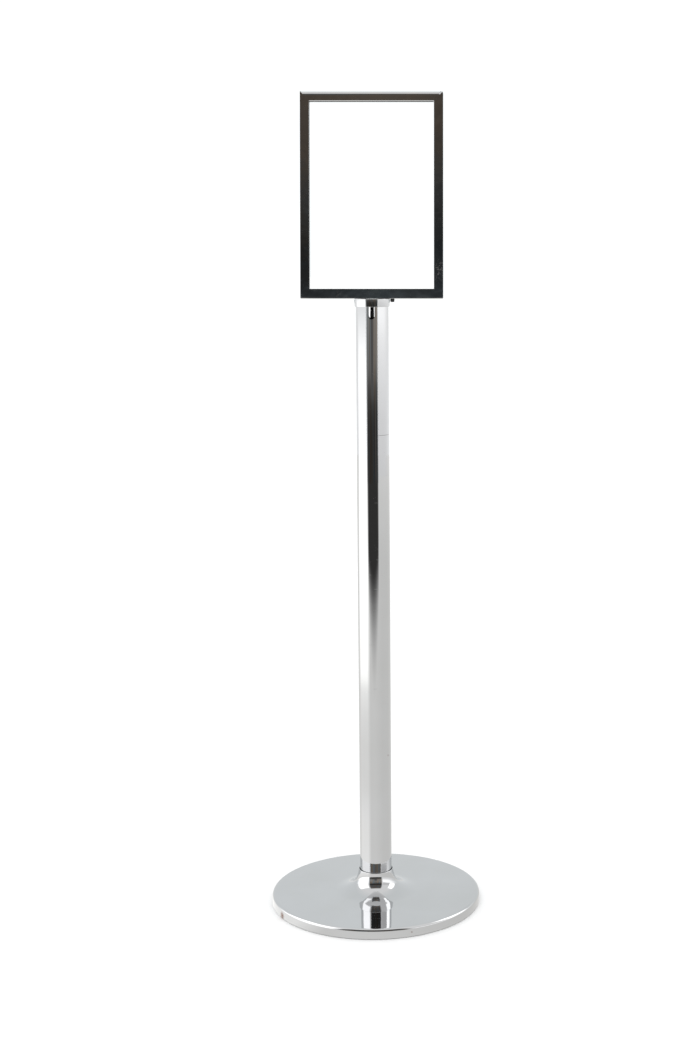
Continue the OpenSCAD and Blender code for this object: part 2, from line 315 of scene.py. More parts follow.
def chrome(name, look):
    mat, tree, shader, coords = startMaterial(name)
    mottling = noise(tree, coords, look["mottleScale"], 3, 0.55)
    tint = blendColour(tree, spread(tree, mottling, 0.35, 0.7), look["tint"], look["tintOther"])
    slanted = stretch(tree, coords, look["smearStretch"], (0.3, 0.2, 0.5))
    smear = noise(tree, slanted, look["smearScale"], 4, 0.6, 0.6)
    smearMask = spread(tree, smear, 0.52, 0.72)
    finger = noise(tree, coords, 55, 2, 0.5, 1.2)
    fingerMask = times(tree, spread(tree, finger, 0.6, 0.72), spread(tree, mottling, 0.5, 0.62))
    dust = spread(tree, spots(tree, coords, look["dustScale"]), 0.075, 0.05)
    dustMask = times(tree, dust, spread(tree, noise(tree, coords, 37, 1), 0.56, 0.6))
    askew = stretch(tree, coords, (1, 1, 1), (0.7, 0.4, 0.1))
    pits = spread(tree, spots(tree, askew, look["pitScale"]), 0.06, 0.03)
    pitMask = times(tree, pits, spread(tree, noise(tree, coords, 21, 2), 0.6, 0.64))
    scratchA = noise(tree, stretch(tree, coords, (900, 900, 25), (0.06, 0.03, 0)), 1, 2, 0.6)
    scratchB = noise(tree, stretch(tree, coords, (30, 30, 1100), (0.03, 0.08, 0)), 1, 2, 0.6)
    scratch = calc(tree, "MAXIMUM", spread(tree, scratchA, 0.7, 0.76), spread(tree, scratchB, 0.71, 0.77))
    scratchMask = times(tree, scratch, spread(tree, noise(tree, coords, 9, 2), 0.45, 0.6))
    rough = plus(tree, look["rough"], times(tree, smearMask, look["smearRough"]))
    rough = plus(tree, rough, times(tree, fingerMask, 0.05))
    rough = plus(tree, rough, times(tree, dustMask, 0.35))
    rough = plus(tree, rough, times(tree, scratchMask, look["scratchRough"]), True)
    colour = blendColour(tree, times(tree, pitMask, 0.8), tint, look["pitColour"])
    for place, size, amount in look.get("rust", []):
        grain = noise(tree, coords, 900, 3, 0.7)
        mask = times(tree, nearPoint(tree, coords, place, size, 0.7), spread(tree, grain, 0.4, 0.5))
        colour = blendColour(tree, times(tree, mask, amount), colour, (0.16, 0.055, 0.02))
        rough = plus(tree, rough, times(tree, mask, 0.6), True)
    for place, size, amount in look.get("smudges", []):
        grain = noise(tree, coords, 260, 4, 0.7, 0.8)
        mask = times(tree, nearPoint(tree, coords, place, size, 0.8), spread(tree, grain, 0.5, 0.62))
        rough = plus(tree, rough, times(tree, mask, amount), True)
    if look.get("line"):
        place, size, thickness = look["line"]
        split = tree.nodes.new("ShaderNodeSeparateXYZ")
        put(tree, split.inputs[0], coords)
        away = calc(tree, "ABSOLUTE", minus(tree, split.outputs[2], place[2]))
        mask = times(tree, spread(tree, away, thickness, thickness * 0.4),
                     nearPoint(tree, coords, place, size, 0.3))
        colour = blendColour(tree, times(tree, mask, 0.55), colour, (0.12, 0.11, 0.1))
    put(tree, shader.inputs["Base Color"], colour)
    put(tree, shader.inputs["Roughness"], rough)
    shader.inputs["Metallic"].default_value = 1.0
    wave = noise(tree, stretch(tree, coords, look["waveStretch"]), look["waveScale"], 2, 0.4)
    normal = bump(tree, wave, look["waveHeight"])
    ripple = noise(tree, coords, look["rippleScale"], 2, 0.5)
    normal = bump(tree, ripple, look["rippleHeight"], 1.0, normal)
    marks = minus(tree, times(tree, dustMask, 0.5), plus(tree, scratchMask, pitMask))
    normal = bump(tree, marks, look["markHeight"], 1.0, normal)
    put(tree, shader.inputs["Normal"], normal)
    return mat


def plainMaterial(name, look):  # cast, moulded, turned and plated surfaces, from one set of numbers
    mat, tree, shader, coords = startMaterial(name)
    grain = noise(tree, stretch(tree, coords, look.get("stretch", (1, 1, 1))), look["grainScale"], 5, 0.6)
    broad = noise(tree, coords, look["broadScale"], 3, 0.5, 0.4)
    colour = blendColour(tree, spread(tree, broad, 0.35, 0.7), look["colour"], look["colourOther"])
    worn = spread(tree, times(tree, grain, broad), look["wornFrom"], look["wornFrom"] + 0.06)
    colour = blendColour(tree, times(tree, worn, look["wornAmount"]), colour, look["wornColour"])
    specks = spread(tree, spots(tree, coords, look["speckScale"]), 0.1, 0.05)
    colour = blendColour(tree, times(tree, specks, 0.5), colour, look["speckColour"])
    put(tree, shader.inputs["Base Color"], colour)
    rough = plus(tree, look["rough"], times(tree, spread(tree, broad, 0.3, 0.7), look["roughMore"]))
    rough = plus(tree, rough, times(tree, specks, 0.15), True)
    put(tree, shader.inputs["Roughness"], rough)
    shader.inputs["Metallic"].default_value = look["metal"]
    if look.get("subsurface"):
        shader.inputs["Subsurface Weight"].default_value = look["subsurface"]
        shader.inputs["Subsurface Scale"].default_value = 0.002
    normal = bump(tree, grain, look["grainHeight"])
    normal = bump(tree, broad, look["broadHeight"], 1.0, normal)
    put(tree, shader.inputs["Normal"], normal)
    return mat


def give(obj, mat):
    obj.data.materials.clear()
    obj.data.materials.append(mat)
    return obj


def done(obj, mat, body, slotName, *nodes):
    give(obj, mat)
    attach(obj, body)
    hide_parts(*nodes)
    return obj


chromeLook = {
    "tint": (0.615, 0.62, 0.63), "tintOther": (0.585, 0.588, 0.592), "mottleScale": 9,
    "smearStretch": (1, 1, 0.35), "smearScale": 16, "smearRough": 0.035, "rough": 0.022,
    "dustScale": 420, "pitScale": 300, "pitColour": (0.2, 0.17, 0.15), "scratchRough": 0.12,
    "waveStretch": (1, 1, 1), "waveScale": 6, "waveHeight": 0.0004,
    "rippleScale": 60, "rippleHeight": 0.000008, "markHeight": 0.00002,
}
postChrome = chrome("postChrome", dict(chromeLook, waveStretch=(1, 1, 0.12), waveScale=14, waveHeight=0.00025,
                                       line=((0.019, -0.017, 0.757), 0.014, 0.0006),
                                       rust=[((0.022, -0.0145, 0.245), 0.0022, 0.8)]))
baseChrome = chrome("baseChrome", dict(chromeLook, waveScale=11, waveHeight=0.0003, smearRough=0.05,
                                       smearStretch=(1, 1, 1),
                                       rust=[((-0.1442, -0.0842, 0.005), 0.008, 1.0),
                                             ((0.061, -0.1555, 0.008), 0.0018, 0.7)]))
frameChrome = chrome("frameChrome", dict(chromeLook, tint=(0.63, 0.625, 0.615), tintOther=(0.56, 0.57, 0.59),
                                         mottleScale=22, waveScale=38, waveHeight=0.00018, smearRough=0.06,
                                         smearStretch=(1, 1, 1), smearScale=45,
                                         smudges=[((0.102, 0.0, 1.215), 0.012, 0.3),
                                                  ((0.103, -0.01, 1.01), 0.022, 0.3),
                                                  ((-0.05, -0.012, 0.972), 0.008, 0.25)]))
capChrome = chrome("capChrome", dict(chromeLook, waveScale=40, waveHeight=0.0001))

castIron = plainMaterial("castIron", {
    "colour": (0.045, 0.046, 0.05), "colourOther": (0.028, 0.028, 0.03), "grainScale": 520, "broadScale": 26,
    "wornFrom": 0.33, "wornAmount": 0.6, "wornColour": (0.13, 0.07, 0.04), "speckScale": 330,
    "speckColour": (0.12, 0.12, 0.12), "rough": 0.55, "roughMore": 0.25, "metal": 0.25,
    "grainHeight": 0.0009, "broadHeight": 0.0012})
rubber = plainMaterial("rubber", {
    "colour": (0.018, 0.018, 0.018), "colourOther": (0.03, 0.029, 0.028), "grainScale": 900, "broadScale": 40,
    "wornFrom": 0.36, "wornAmount": 0.5, "wornColour": (0.11, 0.105, 0.1), "speckScale": 500,
    "speckColour": (0.2, 0.19, 0.18), "rough": 0.7, "roughMore": 0.2, "metal": 0.0,
    "grainHeight": 0.00025, "broadHeight": 0.0002})
blackPlastic = plainMaterial("blackPlastic", {
    "colour": (0.016, 0.016, 0.017), "colourOther": (0.024, 0.024, 0.025),
    "grainScale": 1400, "broadScale": 60,
    "wornFrom": 0.37, "wornAmount": 0.5, "wornColour": (0.08, 0.08, 0.08), "speckScale": 600,
    "speckColour": (0.12, 0.12, 0.11), "rough": 0.38, "roughMore": 0.18, "metal": 0.0,
    "grainHeight": 0.00012, "broadHeight": 0.00005})
zinc = plainMaterial("zinc", {
    "colour": (0.55, 0.56, 0.585), "colourOther": (0.44, 0.45, 0.47), "grainScale": 700, "broadScale": 120,
    "wornFrom": 0.34, "wornAmount": 0.6, "wornColour": (0.3, 0.27, 0.22), "speckScale": 700,
    "speckColour": (0.75, 0.75, 0.76), "rough": 0.24, "roughMore": 0.16, "metal": 1.0,
    "grainHeight": 0.00005, "broadHeight": 0.00008})
darkSteel = plainMaterial("darkSteel", {
    "colour": (0.23, 0.23, 0.235), "colourOther": (0.15, 0.15, 0.155), "grainScale": 60, "broadScale": 30,
    "stretch": (1, 1, 26), "wornFrom": 0.36, "wornAmount": 0.5, "wornColour": (0.2, 0.12, 0.07),
    "speckScale": 420, "speckColour": (0.08, 0.06, 0.05), "rough": 0.3, "roughMore": 0.2, "metal": 1.0,
    "grainHeight": 0.00006, "broadHeight": 0.00004})
nylon = plainMaterial("nylon", {
    "colour": (0.74, 0.73, 0.67), "colourOther": (0.66, 0.64, 0.57), "grainScale": 800, "broadScale": 90,
    "wornFrom": 0.36, "wornAmount": 0.4, "wornColour": (0.4, 0.38, 0.33), "speckScale": 500,
    "speckColour": (0.3, 0.28, 0.25), "rough": 0.42, "roughMore": 0.15, "metal": 0.0, "subsurface": 0.25,
    "grainHeight": 0.00008, "broadHeight": 0.00006})
print("materials built")


cover = {"outerRadius": 167, "rimHeight": 16.8, "rimRound": 4.5, "neckRadius": 27.7, "neckHeight": 53,
         "wall": 1.2, "slopes": (4, 23, 60, 88.8), "curves": (50, 20, 60), "segments": 256}


def coverLine():  # (radius, height, direction of the normal in degrees) from the neck's lip down to the floor
    c = cover
    rad = math.radians
    r, z = c["neckRadius"], c["neckHeight"] - c["wall"] / 2
    pts = [(r, z, c["slopes"][0])]
    steps = 16
    for radius, start, end in zip(c["curves"], c["slopes"], c["slopes"][1:]):
        for k in range(1, steps + 1):
            a = start + (end - start) * k / steps
            pts.append((r + radius * (math.cos(rad(start)) - math.cos(rad(a))),
                        z - radius * (math.sin(rad(a)) - math.sin(rad(start))), a))
        r, z, _ = pts[-1]
    footRadius, footHeight = r, z
    rimIn = c["outerRadius"] - c["rimRound"]
    for k in range(1, 24):  # the straight slope of the disc
        f = k / 24
        pts.append((footRadius + (rimIn - footRadius) * f, footHeight + (c["rimHeight"] - footHeight) * f,
                    c["slopes"][-1]))
    for k in range(steps + 1):
        slope = 90 - 90 * k / steps
        pts.append((rimIn + c["rimRound"] * math.cos(rad(slope)),
                    c["rimHeight"] - c["rimRound"] + c["rimRound"] * math.sin(rad(slope)), slope))
    for z in (11.5, 9, 6.5, 4.5, 2.5, 1.6, 1.15):
        pts.append((c["outerRadius"], z, 0))
    pts.append((c["outerRadius"] - 0.15, 1.0, -45))
    return pts


def buildCover():
    line = coverLine()
    t = cover["wall"]
    outside = [(r, z) for r, z, _ in line]
    inside = [(r - t * math.cos(math.radians(a)), z - t * math.sin(math.radians(a))) for r, z, a in line[:-1]]
    inside[-1] = (inside[-1][0], 1.0)
    top = cover["neckHeight"] - t / 2
    lip = arc(cover["neckRadius"] - t / 2, top, t / 2, 170, 12, 10)
    obj = lathe("baseCover", outside + inside[::-1] + lip, cover["segments"])
    return done(obj, baseChrome, "stand", "chrome_plate", "base_cover")


weightTop = lowHigh("base_weight")[1]
weight = {"bore": 3.3, "well": 14, "wellTop": 12.6, "under": 2.6, "radius": 164.5, "edgeTop": 10.3,
          "shoulder": 158.5, "shoulderTop": 15.2, "hub": 69}


def buildWeight():
    w = weight
    profile = filletPath([(w["bore"], w["wellTop"], 0), (w["well"], w["wellTop"], 0.8),
                          (w["well"], w["under"], 1.0), (w["radius"], w["under"], 1.5),
                          (w["radius"], w["edgeTop"], 1.2), (w["shoulder"], w["shoulderTop"], 2),
                          (w["hub"], weightTop, 3), (w["bore"], weightTop, 0)], 5)

    def rough(angle, r, z):  # the cast underside is uneven
        if 20 < r < 150 and z < 4:
            z += 0.25 * math.sin(r * 0.9 + 2 * math.sin(angle * 3)) * math.sin(angle * 11 + r * 0.2)
        return r, z
    obj = lathe("baseWeight", profile, 128, change=rough)
    return done(obj, castIron, "stand", "cast_iron", "base_weight")


floorRing = {"inner": 152.5, "outer": 164.5, "top": 2.6, "grooves": 3, "firstGroove": 155.5, "grooveStep": 3,
             "grooveHalf": 0.6}


def buildFloorRing():
    f = floorRing
    half = f["grooveHalf"]
    grooves = []
    for k in range(f["grooves"]):
        r = f["firstGroove"] + f["grooveStep"] * k
        grooves += [(r - half, 0, 0.15), (r, half, 0.2), (r + half, 0, 0.15)]
    profile = filletPath([(f["inner"], f["top"], 0), (f["inner"], 0, 0.6)] + grooves +
                         [(f["outer"], 0, 0.6), (f["outer"], f["top"], 0)], 3, 0.1)
    obj = lathe("floorRing", profile, 192)
    return done(obj, rubber, "stand", "floor_rubber", "floor_ring")


bush = {"inner": 25.5, "outer": 26.4, "height": 8}


def buildNeckBush():
    low = lowHigh("neck_bush")[0]
    high = low + bush["height"]
    profile = filletPath([(bush["inner"], low, 0.2), (bush["outer"], low, 0.2), (bush["outer"], high, 0.3),
                          (bush["inner"], high, 0.2)], 3, 0.05)
    return done(lathe("neckBush", profile, 96), blackPlastic, "stand", "black_plastic", "neck_bush")


socket = {"bore": 3.3, "flange": 36, "flangeHeight": 5, "radius": 23.75, "height": 42}


def buildSocket():
    s = socket
    step, top = weightTop + s["flangeHeight"], weightTop + s["height"]
    profile = filletPath([(s["bore"], weightTop, 0), (s["flange"], weightTop, 0.8), (s["flange"], step, 1.2),
                          (s["radius"], step, 1.2), (s["radius"], top, 1.5), (s["bore"], top, 0.5)], 5)
    return done(lathe("postSocket", profile, 96), castIron, "stand", "cast_iron", "post_socket")


def hexNut(name, across, low, high, bore):  # a hexagon nut whose corners are turned off at both ends
    height = high - low
    levels = [0, 0.12, 0.25, 0.5, 0.75, 0.88, 1]
    profile = [(bore, low + 0.4), (bore, high - 0.4), (bore + 0.4, high)] + \
              [(across, low + height * f) for f in reversed(levels)] + [(bore + 0.4, low)]

    def shape(angle, r, z):
        if r < across - 0.01:
            return r, z
        turn = (angle + math.pi / 6) % (math.pi / 3) - math.pi / 6
        flat = across / 2 / math.cos(turn)
        end = min(z - low, high - z)
        cone = across / 2 * 0.97 + end * 1.73
        return min(flat, cone), z
    return lathe(name, profile, 144, change=shape, smoothAngle=25)


# A rod along Z; threads is a list of (from, to) where its surface is cut into a thread
def threadedRod(name, radius, low, high, pitch, threads):
    segments = 40
    heights = [low, low + 0.3]
    z = low + 0.6
    while z < high - 0.6:
        inThread = any(a <= z <= b for a, b in threads)
        heights.append(z)
        z += pitch / 8 if inThread else 6.0
        for a, _ in threads:
            if not inThread and z > a > z - 6.0:
                z = a
    heights += [high - 0.3, high]
    verts, faces = [], []
    for i, h in enumerate(heights):
        for s in range(segments):
            angle = 2 * math.pi * s / segments
            r = radius
            if any(a <= h <= b for a, b in threads):
                phase = (h / pitch - s / segments) % 1
                r -= pitch * 0.55 * (1 - abs(2 * phase - 1)) * 0.9
            if i in (0, len(heights) - 1):
                r = radius - 0.7
            verts.append((r * math.cos(angle), r * math.sin(angle), h))
    for i in range(len(heights) - 1):
        for s in range(segments):
            t = (s + 1) % segments
            faces.append((i * segments + s, i * segments + t, (i + 1) * segments + t, (i + 1) * segments + s))
    faces.append(tuple(range(segments)))
    faces.append(tuple(range((len(heights) - 1) * segments, len(heights) * segments)))
    return newObject(name, verts, faces, 50)


def washer(name, outer, inner, low, high):
    edge = min(0.3, (high - low) * 0.3)
    profile = filletPath([(inner, low, 0), (outer, low, edge), (outer, high, edge), (inner, high, 0)], 4, 0.1)
    return lathe(name, profile, 96)


rod = {"radius": 2.98, "pitch": 1.0, "threadLow": 14, "threadHigh": 12, "nutAcross": 10.02, "nutBore": 3.0,
       "washerOuter": 7.2, "washerInner": 3.2}


def buildRodAndNuts():
    low, high = lowHigh("tie_rod")
    threads = [(low + 0.6, low + rod["threadLow"]), (high - rod["threadHigh"], high - 0.6)]
    obj = threadedRod("tieRod", rod["radius"], low, high, rod["pitch"], threads)
    done(obj, darkSteel, "stand", "dark_steel", "tie_rod")
    for end in ("base", "top"):
        nut = hexNut(end + "Nut", rod["nutAcross"], *lowHigh(end + "_nut"), rod["nutBore"])
        done(nut, zinc, "stand", "zinc_steel", end + "_nut")
        ring = washer(end + "Washer", rod["washerOuter"], rod["washerInner"], *lowHigh(end + "_washer"))
        done(ring, zinc, "stand", "zinc_steel", end + "_washer")


buildCover()
buildWeight()
buildFloorRing()
buildNeckBush()
buildSocket()
buildRodAndNuts()
print("base built")


post = {"radius": 25.4, "wall": 1.5, "slotWidth": 9.6, "slotLow": 934.5, "backSlotTurn": 3.5, "segments": 192}


def buildPost():
    low, high = lowHigh("post_tube")
    outer, inner = post["radius"], post["radius"] - post["wall"]
    heights = [low + 0.4 + (high - low - 0.8) * k / 12 for k in range(13)]
    profile = [(outer, z) for z in heights] + [(outer - 0.4, high), (inner + 0.3, high)] + \
              [(inner, z) for z in reversed(heights)] + [(inner + 0.3, low), (outer - 0.4, low)]
    obj = lathe("postTube", profile, post["segments"])
    half = post["slotWidth"] / 2
    outline = arc(0, post["slotLow"] + half, half, 180, 360, 24) + [(half, high + 5), (-half, high + 5)]
    cutters = []
    for turn in (0, 180 + post["backSlotTurn"]):
        cutter = prism("slotCutter", outline, 0, 40, 0)
        cutters.append(transformMesh(cutter, turned(turn, "Z") @ turned(90, "X")))
    subtract(obj, cutters)
    roundEdges(obj, 0.45, 3)
    mesh = obj.data
    smoothFaces(mesh, 50)
    normals = [Vector((0, 0, 0))] * len(mesh.loops)  # the tube's walls shade as true cylinders
    for face in mesh.polygons:
        centre = Vector((face.center.x, face.center.y, 0)).normalized()
        side = face.normal.dot(centre)
        if abs(side) > 0.9995:
            for li in face.loop_indices:
                co = mesh.vertices[mesh.loops[li].vertex_index].co
                normals[li] = Vector((co.x, co.y, 0)).normalized() * (1 if side > 0 else -1)
    mesh.normals_split_custom_set(normals)
    return done(obj, postChrome, "stand", "chrome_plate", "post_tube")


plug = {"bore": 3.3, "radius": 23.75, "lipRadius": 25.2, "lip": 1, "well": 9, "floor": 2.5,
        "slipOuter": 25, "slipInner": 10}


def buildTopPlug():
    p = plug
    low, high = lowHigh("top_plug")
    profile = filletPath([(p["bore"], low, 0.3), (p["radius"], low, 0.6), (p["radius"], high - p["lip"], 0),
                          (p["lipRadius"], high - p["lip"], 0.15), (p["lipRadius"], high, 0.3),
                          (p["well"], high, 0.4), (p["well"], low + p["floor"], 0.3),
                          (p["bore"], low + p["floor"], 0)], 4, 0.2)
    done(lathe("topPlug", profile, 96), darkSteel, "stand", "dark_steel", "top_plug")
    slip = washer("swivelWasher", p["slipOuter"], p["slipInner"], *lowHigh("swivel_washer"))
    done(slip, nylon, "stand", "nylon", "swivel_washer")


buildPost()
buildTopPlug()
print("post built")


cap = {"top": 965.5, "skirt": 12.2, "saddle": 1.8, "saddleFront": -11.3, "lowRadius": 27, "highRadius": 27.8,
       "bore": 25.6, "plate": 2.4, "bossRadius": 3.2, "bossUp": 3.6, "bossFrom": 25.8, "bossEnd": 30,
       "screwRadius": 1.6, "earFrom": 14, "earTo": 17, "earRadius": 4.4, "earFoot": -4.8}
hinge = Vector((0, 13.5, 968.1))
atHinge = Matrix.Translation(hinge) @ turned(90, "Y")  # carries Z along the hinge
backOfCap = Matrix.Translation((0, 0, cap["top"] - cap["skirt"] + cap["bossUp"])) @ turned(-90, "X")
leanBack = 7  # degrees
axesToX = Matrix(((0, 0, 1, 0), (1, 0, 0, 0), (0, 1, 0, 0), (0, 0, 0, 1)))


def buildCap():
    c = cap
    low = c["top"] - c["skirt"]
    under = c["top"] - c["saddle"] - c["plate"]
    profile = filletPath([(c["bore"], low, 0.3), (c["lowRadius"], low, 0.35),
                          (c["highRadius"], c["top"] - 1.0, 0),
                          (c["highRadius"], c["top"], 0.95), (0.01, c["top"], 0), (0.01, under, 0),
                          (c["bore"], under, 0.5)], 6, 0.25)
    shell = lathe("capShell", profile, 192)
    seat = c["top"] - c["saddle"]
    cutter = prism("saddleCutter", [(-40, c["saddleFront"]), (40, c["saddleFront"]), (40, 40), (-40, 40)],
                   seat, seat + 5, 0)
    subtract(shell, [cutter])
    roundEdges(shell, 0.3, 2)
    parts = [shell]
    for side in (-1, 1):
        foot = [(-c["earRadius"], c["earFoot"]), (c["earRadius"], c["earFoot"])]
        outline = foot + arc(0, 0, c["earRadius"], 0, 180, 24)
        ear = prism("ear", outline, c["earFrom"], c["earTo"], 0.4)
        turn = Matrix(((0, 0, side, 0), (1, 0, 0, 0), (0, 1, 0, 0), (0, 0, 0, 1)))
        transformMesh(ear, Matrix.Translation(hinge) @ turn)
        if side < 0:
            ear.data.flip_normals()
        parts.append(ear)
    boss = lathe("boss", filletPath([
                 (c["screwRadius"], c["bossFrom"], 0), (c["bossRadius"], c["bossFrom"], 0),
                 (c["bossRadius"], c["bossEnd"], 0.6), (c["screwRadius"], c["bossEnd"], 0.3)], 5, 0.2), 64)
    parts.append(transformMesh(boss, backOfCap))
    obj = joinAll("swivelCap", parts)
    return done(obj, capChrome, "cap", "chrome_plate", "swivel_cap")


# A headless screw along Z with a hexagon socket at its high end
def socketScrew(name, radius, low, high, keyRadius, depth):
    profile = [(0.01, low), (radius - 0.5, low), (radius, low + 0.5), (radius, high - 0.3),
               (radius - 0.3, high), (keyRadius * 1.25, high), (keyRadius, high - 0.15),
               (keyRadius, high - depth), (0.01, high - depth - 0.3)]

    def shape(angle, r, z):
        if abs(r - keyRadius) < 0.01:
            turn = (angle + math.pi / 6) % (math.pi / 3) - math.pi / 6
            r = keyRadius * 0.866 / math.cos(turn)
        return r, z
    return lathe(name, profile, 72, closed=False, change=shape, smoothAngle=25)


bolt = {"radius": 2.48, "low": -17.5, "high": 30.8, "pitch": 0.8, "thread": (18, 30), "headRadius": 4.2,
        "headFrom": -17, "headSide": -18.3, "dome": 2.2, "washers": (-13.95, 13.45), "washerThick": 0.5,
        "washerOuter": 4, "washerInner": 2.6}


def buildHinge():
    screw = socketScrew("capSetScrew", 1.58, 25.7, 29.5, 0.9, 1.8)
    done(transformMesh(screw, backOfCap), darkSteel, "cap", "dark_steel", "cap_set_screw")

    b = bolt
    shank = threadedRod("boltShank", b["radius"], b["low"], b["high"], b["pitch"], [b["thread"]])
    turns = [math.radians(6 * k) for k in range(1, 15)]
    dome = [(b["headRadius"] * math.cos(a), b["headSide"] - b["dome"] * math.sin(a)) for a in turns]
    profile = [(0.01, b["headFrom"]), (b["headRadius"], b["headFrom"]),
               (b["headRadius"], b["headSide"])] + dome
    head = lathe("boltHead", profile + [(0.01, b["headSide"] - b["dome"])], 72, closed=False)
    for part in (shank, head):
        transformMesh(part, atHinge)
    done(joinAll("tiltBolt", [shank, head]), zinc, "cap", "zinc_steel", "tilt_bolt")

    rings = [transformMesh(washer("ring", b["washerOuter"], b["washerInner"], low, low + b["washerThick"]),
                           atHinge) for low in b["washers"]]
    done(joinAll("tiltWashers", rings), nylon, "cap", "nylon", "tilt_washers")


knob = {"radius": 8.5, "neckRadius": 4.1, "low": 17.3, "step": 27.8, "high": 34, "bore": 2.6, "boreEnd": 31.1,
        "ribs": 24, "ribRadius": 0.75}


def ribsAround(mat):  # grip ribs: one rounded bar repeated round the knob
    tree = bpy.data.node_groups.new("knobRibs", "GeometryNodeTree")
    tree.interface.new_socket("Geometry", in_out="INPUT", socket_type="NodeSocketGeometry")
    for label, value in (("Ring Radius", (knob["radius"] - knob["ribRadius"]) * mm),
                         ("Rib Radius", knob["ribRadius"] * mm),
                         ("Rib Length", (knob["high"] - knob["step"] - 1.0) * mm)):
        sock = tree.interface.new_socket(label, in_out="INPUT", socket_type="NodeSocketFloat")
        sock.default_value = value
    sock = tree.interface.new_socket("Count", in_out="INPUT", socket_type="NodeSocketInt")
    sock.default_value = knob["ribs"]
    sock = tree.interface.new_socket("Material", in_out="INPUT", socket_type="NodeSocketMaterial")
    tree.interface.new_socket("Geometry", in_out="OUTPUT", socket_type="NodeSocketGeometry")
    add = tree.nodes.new
    link = tree.links.new
    given = add("NodeGroupInput")
    result = add("NodeGroupOutput")
    ring = add("GeometryNodeMeshCircle")
    link(given.outputs["Count"], ring.inputs["Vertices"])
    link(given.outputs["Ring Radius"], ring.inputs["Radius"])
    bar = add("GeometryNodeMeshCylinder")
    bar.inputs["Vertices"].default_value = 14
    link(given.outputs["Rib Radius"], bar.inputs["Radius"])
    link(given.outputs["Rib Length"], bar.inputs["Depth"])
    scatter = add("GeometryNodeInstanceOnPoints")
    link(ring.outputs["Mesh"], scatter.inputs["Points"])
    link(bar.outputs["Mesh"], scatter.inputs["Instance"])
    real = add("GeometryNodeRealizeInstances")
    link(scatter.outputs["Instances"], real.inputs["Geometry"])
    paint = add("GeometryNodeSetMaterial")
    link(real.outputs["Geometry"], paint.inputs["Geometry"])
    link(given.outputs["Material"], paint.inputs["Material"])
    link(paint.outputs["Geometry"], result.inputs["Geometry"])
    holder = linkObject("knobRibs", bpy.data.meshes.new("knobRibs"))
    mod = holder.modifiers.new("ribs", "NODES")
    mod.node_group = tree
    for item in tree.interface.items_tree:
        if item.item_type == "SOCKET" and item.name == "Material":
            mod[item.identifier] = mat
    applyAll(holder)
    bm = bmesh.new()
    bm.from_mesh(holder.data)
    ends = [e for e in bm.edges if len(e.link_faces) == 2 and e.calc_face_angle() > 1.2]
    bmesh.ops.bevel(bm, geom=ends, offset=0.3 * mm, segments=2, profile=0.5, affect="EDGES")
    bm.to_mesh(holder.data)
    bm.free()
    return holder


def buildKnob():
    k = knob
    core = lathe("knobCore", filletPath([(k["bore"], k["low"], 0.2), (k["neckRadius"], k["low"], 0.5),
                 (k["neckRadius"], k["step"], 0.8), (k["radius"] - 0.55, k["step"], 0.9),
                 (k["radius"] - 0.55, k["high"], 1.2), (4.4, k["high"], 0.5), (3.4, k["high"] - 0.7, 0.4),
                 (0.01, k["high"] - 0.7, 0), (0.01, k["boreEnd"], 0),
                 (k["bore"], k["boreEnd"], 0)], 6, 0.2), 120)
    ribs = ribsAround(blackPlastic)
    transformMesh(ribs, Matrix.Translation((0, 0, (k["step"] + k["high"]) / 2)))
    for part in (core, ribs):
        transformMesh(part, atHinge)
    done(joinAll("tiltKnob", [core, ribs]), blackPlastic, "knob", "black_plastic", "tilt_knob")


leaning = Matrix.Translation(hinge) @ turned(-leanBack, "X")
bracket = {"halfWidth": 13.4, "low": -4, "top": 8, "front": 7.2, "back": 9.2, "lugReach": 8.2,
           "lugRadius": 3.98, "lugWidth": 3.5, "screws": (-6, 6), "screwUp": 3.5}


def buildBracket():
    b = bracket
    half = b["halfWidth"]
    corners = [(-half, b["low"], 0.6), (half, b["low"], 0.6), (half, b["top"], 1.6), (-half, b["top"], 1.6)]
    plate = prism("plate", filletPath(corners, 6, 0), b["front"], b["back"], 0.35)
    parts = [transformMesh(plate, turned(90, "X"))]  # raised axis Z becomes -Y
    r = b["lugRadius"]
    outline = [(-b["lugReach"], -r), (0, -r)] + arc(0, 0, r, -90, 90, 24)[1:] + [(-b["lugReach"], r)]
    for start in (-half, half - b["lugWidth"]):
        parts.append(transformMesh(prism("lug", outline, start, start + b["lugWidth"], 0.35), axesToX))
    obj = transformMesh(joinAll("tiltBracket", parts), leaning)
    done(obj, capChrome, "sign_frame", "chrome_plate", "tilt_bracket")
    profile = filletPath([(1.0, 0.1, 0), (1.0, 1.6, 0.1), (2.2, 1.6, 0.3), (2.8, 0.9, 0.4), (2.8, 0, 0.1),
                          (1.48, 0, 0), (1.48, -4, 0.3), (0.01, -4, 0), (0.01, 0.1, 0)], 4, 0.1)
    screws = []
    for x in b["screws"]:
        place = leaning @ Matrix.Translation((x, -b["front"], b["screwUp"])) @ turned(-90, "X")
        screws.append(transformMesh(lathe("head", profile, 60), place))
    done(joinAll("bracketScrews", screws), zinc, "sign_frame", "zinc_steel", "bracket_screws")


buildCap()
buildHinge()
buildKnob()
buildBracket()
print("cap and hinge built")


rail = {"width": 14.8, "depth": 14.5, "wall": 1.2, "slot": 6.5, "frameWidth": 219, "frameHeight": 314.3,
        "low": -5.2, "back": -9.2, "mouth": 107, "edgeRound": 0.9, "bottomRound": 0.4, "innerRound": 0.4,
        "topRound": 6.5, "cornerRound": {"bl": 1.6, "br": 1.8, "tl": 2.0, "tr": 4.4}, "cornerReach": 9,
        "blendLength": 20, "endLength": 40}


